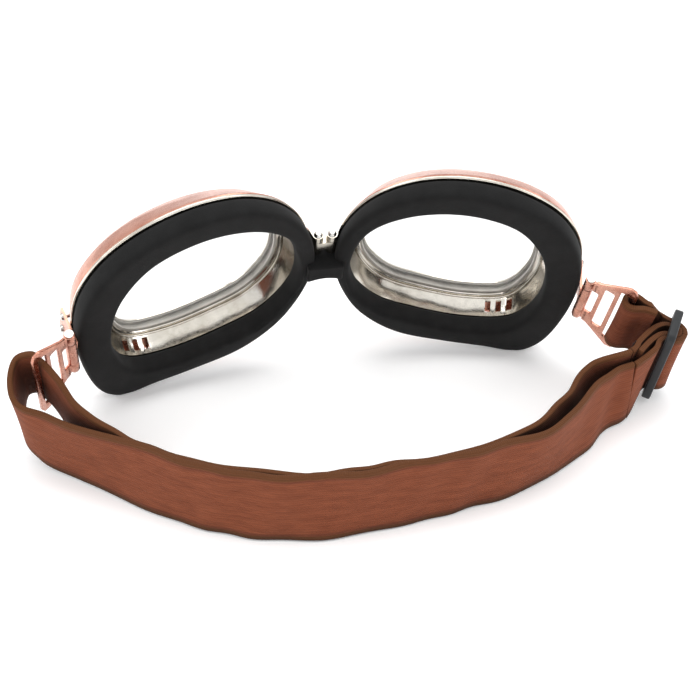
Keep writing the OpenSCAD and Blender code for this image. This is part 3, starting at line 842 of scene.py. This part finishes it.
RIGHT_OUTER = [(95, -37.6, 0.6, 0, -0.17), (88, -41, 0, 0, -0.12), (82, -47, 0, 0, -0.04),
               (76, -53, 0, -0.03, -0.04),
               (66, -60.5, 0, -0.05, -0.14), (56, -65.5, 0, -0.08, -0.28), (40, -70.8, 0, -0.05, -0.22),
               (23, -74.5, 0, -0.04, -0.16), (7, -77.2, 0, -0.03, -0.1), (-8, -79.2, 0, 0, -0.07)]
LEFT = [(-21, -80, 0, 0, 0), (-34, -77.6, 0, 0, 0), (-46, -71.8, 0, 0, 0), (-57, -64.4, 0, 0, 0),
        (-70, -53, 0, 0.02, -0.1),
        (-84, -40, 0, 0, -0.16), (-96, -28.5, 1, -0.04, -0.22), (-104, -20.5, 4.5, -0.1, -0.34),
        (-105.7, -12, 10, -0.1, -0.46),
        (-104.2, -6.2, 15.6, -0.06, -0.51), (-99.9, -7.8, 18.2, -0.02, -0.515),
        (-97, -10.8, 17, -0.02, -0.515),
        (-94.3, -14, 14.8, -0.02, -0.5), (-91.6, -18.5, 11.5, -0.02, -0.44), (-88.6, -25.5, 6, 0, -0.34),
        (-83.5, -33.5, 2.4, 0, -0.22), (-77, -42.2, 0.4, 0, -0.18), (-67.6, -51.4, 0, 0.02, -0.14),
        (-55.5, -62.3, 0, 0, -0.1),
        (-44.9, -69.2, 0, 0, -0.08), (-33.6, -74.9, 0, 0, -0.05), (-21, -77.1, 0, 0, -0.07)]
RIGHT_INNER = [(-8, -76.7, 0, 0, -0.1), (7, -74.4, 0, -0.03, -0.16), (22, -71.9, 0, -0.04, -0.2),
               (38, -68, 0, -0.05, -0.24),
               (53, -61, 0, -0.06, -0.26), (63.5, -54.5, 0, -0.04, -0.14), (72, -46.8, 0.6, -0.02, -0.06),
               (78, -39.8, 2, 0.02, -0.1), (83, -34.6, 3.5, 0.02, -0.24)]

BAR_R = 1.3
LOOP_R = BAR_R + 0.15 + WEB_T / 2 / MM
WEAVE_R = LOOP_R + WEB_T / MM + 0.1
right_bracket = bracket_frame("right")
end_turn = right_bracket @ Matrix.Translation((BAR_X, 0, 0)) @ turn("Z", 14)
rows = [world_row(end_turn, x, y, (0, 0, 1)) for x, y in [
    (9.2, -1.0), (6.6, -1.1), (4.5, -1.4), (1.2, -2.6), (-1.2, -2.3), (-2.45, 0), (-1.2, 2.3), (1.2, 2.6),
    (4.5, 1.4), (6.8, 1.0)]]
rows += [world_row(SLIDER, x, y, (0, 0, 1)) for x, y in [(5.7, 5.4), (4.7, 2.2)] + arc(WEAVE_R, 355, 270,
                                                                                       3)]
under_bar = len(rows) - 1
rows += [world_row(SLIDER, x, y, (0, 0, 1)) for x,
         y in arc(WEAVE_R, 241, 185, 2) + [(-4.9, 1.9), (-7.4, 3.2), (-11.6, 3.7)]]
from_slider = len(rows)
rows += [table_row(*r) for r in RIGHT_OUTER]
rows += [table_row(*r) for r in LEFT]
rows += [table_row(*r) for r in RIGHT_INNER]
to_slider = len(rows)
rows += [world_row(SLIDER, x, y, (0, 0, 1)) for x, y in
         [(-16, 10.9), (-10.4, 9.4), (-5.6, 7.8), (-0.9, 5.6), (1.9, 2.6)] + arc(LOOP_R, 360, 180,
                                                                                 5)[1:] +
         [(-2.7, 2.0), (-4.4, 3.9), (-7.6, 5.6), (-11, 6.9), (-15, 8.1)]]
STEPS = 10
line = smooth_curve(rows, STEPS, False)
along = [0.0]
for a, b in zip(line, line[1:]):
    middle_a = Vector(a[:3]) + Vector(a[3:]).normalized() * WEB_W / 2
    middle_b = Vector(b[:3]) + Vector(b[3:]).normalized() * WEB_W / 2
    along.append(along[-1] + (middle_b - middle_a).length)
print("the strap's elastic is %.0f mm long" % (along[-1] * 1000))


# %% Webbing laid along the rows
ACROSS = 10


def webbing(name, first, last, puckers=0.0):
    """A grid laid along the strap's line between two rows; its UV map is in metres of real webbing."""
    i0, i1 = first * STEPS, min(last * STEPS, len(line) - 1)
    count = i1 - i0
    bpy.ops.object.select_all(action="DESELECT")
    bpy.ops.mesh.primitive_grid_add(x_subdivisions=count, y_subdivisions=ACROSS, size=2)
    obj = bpy.context.object
    uv = obj.data.uv_layers.active.data
    for loop, corner in zip(obj.data.loops, uv):
        co = obj.data.vertices[loop.vertex_index].co
        corner.uv = (along[i0 + round((co.x + 1) / 2 * count)], (co.y + 1) / 2 * WEB_W)
    for v in obj.data.vertices:
        i = i0 + round((v.co.x + 1) / 2 * count)
        q = line[i]
        before, after = line[max(i - 1, 0)], line[min(i + 1, len(line) - 1)]
        up = Vector(q[3:]).normalized()
        run = (Vector(after[:3]) + Vector(after[3:]) * WEB_W / 2
               - Vector(before[:3]) - Vector(before[3:]) * WEB_W / 2)
        side = run.normalized().cross(up).normalized()
        t = (v.co.y + 1) / 2
        s = along[i]
        # the folds die out where the strap leaves the table
        middle = max(0, 1 - max(0, q[2] / MM - 0.3) / 3)
        fold = math.sin(s / 0.0083 + 2 * math.sin(s / 0.031)) * math.sin(s / 0.019 + 1.3)
        wave = puckers * MM * middle * (fold * (t - 0.4) + 0.5
                                        * math.sin(s / 0.0135 + 1.5 * math.sin(s / 0.04)) * (1 - t)
                                        + 0.22 * math.sin(s / 0.0043 + 4 * t + 2 * math.sin(s / 0.012)))
        crown = 0.25 * MM * (1 - (2 * t - 1) ** 2)
        v.co = Vector(q[:3]) + up * WEB_W * t + side * (wave + crown)
    obj.data.update()
    solid = obj.modifiers.new("thickness", "SOLIDIFY")
    solid.thickness = WEB_T
    solid.offset = 0
    solid.use_even_offset = True
    round_edge = obj.modifiers.new("edge", "BEVEL")
    round_edge.width = 0.45 * MM
    round_edge.segments = 2
    round_edge.limit_method = "ANGLE"
    round_edge.angle_limit = math.radians(60)
    apply_modifiers(obj)
    smooth_shade(obj, 50)
    length = along[i1] - along[i0]
    print(name, "flat length %.0f mm" % (length * 1000))
    return obj, length


def slider_point(x, y):
    return tuple(SLIDER @ Vector((x, y, 0)))


# %% [markdown]
# The strap crosses the fold in its middle and the slider that slides along it, so it is cut at the
# slider's centre bar and at its own joins, and each stretch is baked in place where it lies.

# %% Stretches of the strap
mid_start, mid_end = (0.012, -0.0534, 0.0125), (-0.056, -0.0469, 0.0125)
strap, strap_length = webbing("long_run", from_slider, to_slider, 1.7)
settle(strap, "strap_long_run", elastic, ("strap_right", "strap_left", mid_start, mid_end),
       ["strap_right_outer", "strap_right_inner", "strap_left"])

sewn, sewn_length = webbing("sewn_end", to_slider, len(rows) - 1)
settle(sewn, "strap_sewn_end", elastic,
       ("slider", "strap_right", slider_point(-6, 4), slider_point(-17, 9)),
       ["strap_slider_loop"])

weave, weave_length = webbing("through_slider", under_bar, from_slider)
settle(weave, "strap_through_slider", elastic,
       ("slider", "strap_right", slider_point(-4, 2), slider_point(-13, 3.7)),
       ["strap_weave"])

to_bracket, to_bracket_length = webbing("to_bracket", 0, under_bar)
settle(to_bracket, "strap_to_bracket", elastic,
       ("slider", "strap_right", slider_point(4.5, 1.5), slider_point(5.5, 8)),
       ["strap_end_loop"])

# %% [markdown]
# Each folded end is held by a bartack: two dense rows of zigzag stitches right across the strap.
# One stitch is a small capsule, made once and copied along each row.


# %% Bartacks
def bartack(matrix, at, angle):
    """Two zigzag rows across the strap, on its outer face."""
    stitches = []
    bpy.ops.object.select_all(action="DESELECT")
    bpy.ops.mesh.primitive_uv_sphere_add(segments=8, ring_count=6, radius=1)
    first = bpy.context.object
    first.scale = (0.75, 0.16, 0.22)
    bpy.ops.object.transform_apply(location=True, rotation=True, scale=True)
    for row in (-0.7, 0.7):
        for k in range(38):
            z = -11.4 + k * 0.616
            tilt = 18 if k % 2 else -18
            m = Matrix.Translation((at[0], at[1], 0)) @ turn("Z",
                    angle) @ Matrix.Translation((row, 0, z)) @ turn("Y", tilt)
            copy = bpy.data.objects.new("stitch", first.data.copy())
            copy.data.transform(m)
            bpy.context.scene.collection.objects.link(copy)
            stitches.append(copy)
    bpy.data.objects.remove(first, do_unlink=True)
    return into_place(joined(stitches), matrix)


face = WEB_T / 2 / MM + 0.28
for name, matrix, at, angle, body, node in [
        ("end_loop_bartack", end_turn, (5.6, 1.15 + face), -9, "strap_right", "end_loop_stitch"),
        ("slider_loop_bartack", SLIDER, (-11.2, 9.7 + face), -17, "slider", "slider_loop_stitch")]:
    tack = bartack(matrix, at, angle)
    smooth_shade(tack, 180)
    settle(tack, name, thread, body, [node])

# %% [markdown]
# ## Slider
# The slider is one nylon moulding: a rounded plate with two windows and a round bar between them.
# Its corners are generous, as a moulding tool leaves them.

# %% The slider
plate = box_piece((-8.2, -1.5, -16), (8.2, 1.5, 16))
bpy.ops.object.mode_set(mode="EDIT")
mesh = bmesh.from_edit_mesh(plate.data)
for e in mesh.edges:
    e.select = abs((e.verts[0].co - e.verts[1].co).y) > 1
bmesh.update_edit_mesh(plate.data)
bpy.ops.mesh.bevel(offset=2.6, segments=6, affect="EDGES")
bpy.ops.object.mode_set(mode="OBJECT")
cut(plate, [rounded_cutter(-5.8, 5.8, 13, 1.2)])
bevel(plate, 0.55, 3, 40)
bar = knuckle(-14, 14, BAR_R)
slider = into_place(joined([plate, bar]), SLIDER)
smooth_shade(slider, 40)
settle(slider, "three_bar_slider", nylon, "slider", ["slider"])

# %% [markdown]
# ## CAD parts that are already right
# The lens, gasket, ring, rivets, pins, hinge tab and nose hinge are exact in the model: they keep
# their shape and get their real finish.

# %% Finishes of the CAD parts
FINISH = {"lens": lens_glass, "lens_gasket": gasket_silicone, "lens_ring": nickel_plate,
          "hinge_tab": copper_plate,
          "tab_rivets": bright_steel, "bracket_pin": bright_steel, "nose_lug": nickel_plate,
          "nose_pin": bright_steel}
for node, obj in NODES.items():
    kind = node.split("_", 1)[1] if node.split("_")[0] in ("left", "right") else node
    finish = FINISH.get(kind, nickel_plate if node == "nose_link" else None)
    if finish:
        obj.data.materials.clear()
        obj.data.materials.append(finish)
        print(node, "->", finish.name)
